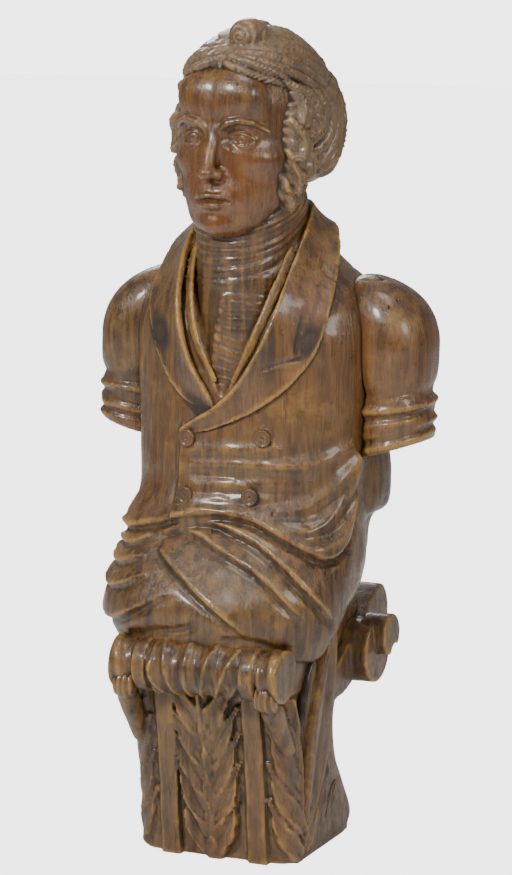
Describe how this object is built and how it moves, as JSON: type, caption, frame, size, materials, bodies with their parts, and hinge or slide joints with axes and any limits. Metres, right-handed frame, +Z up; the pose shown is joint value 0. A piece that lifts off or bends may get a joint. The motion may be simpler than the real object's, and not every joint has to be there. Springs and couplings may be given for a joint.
{
  "type": "ship figurehead",
  "caption": "Carved wooden ship's figurehead: half-length gentleman in a high-collared coat, arms ending above the elbows, on a scrolled foot with acanthus leaves.",
  "frame": {"origin": "middle of the flat underside of the foot", "axes": "+Z up the figure, -Y the way the figure faces, +X the figure's own left side"},
  "size_m": [0.4142, 0.313, 0.9555],
  "materials": {
    "carved_wood": "old brown varnish over carved softwood, worn golden on the high places and dark in the cuts"
  },
  "bodies": {
    "root": {"figurehead": "carved_wood"}
  },
  "joints": []
}
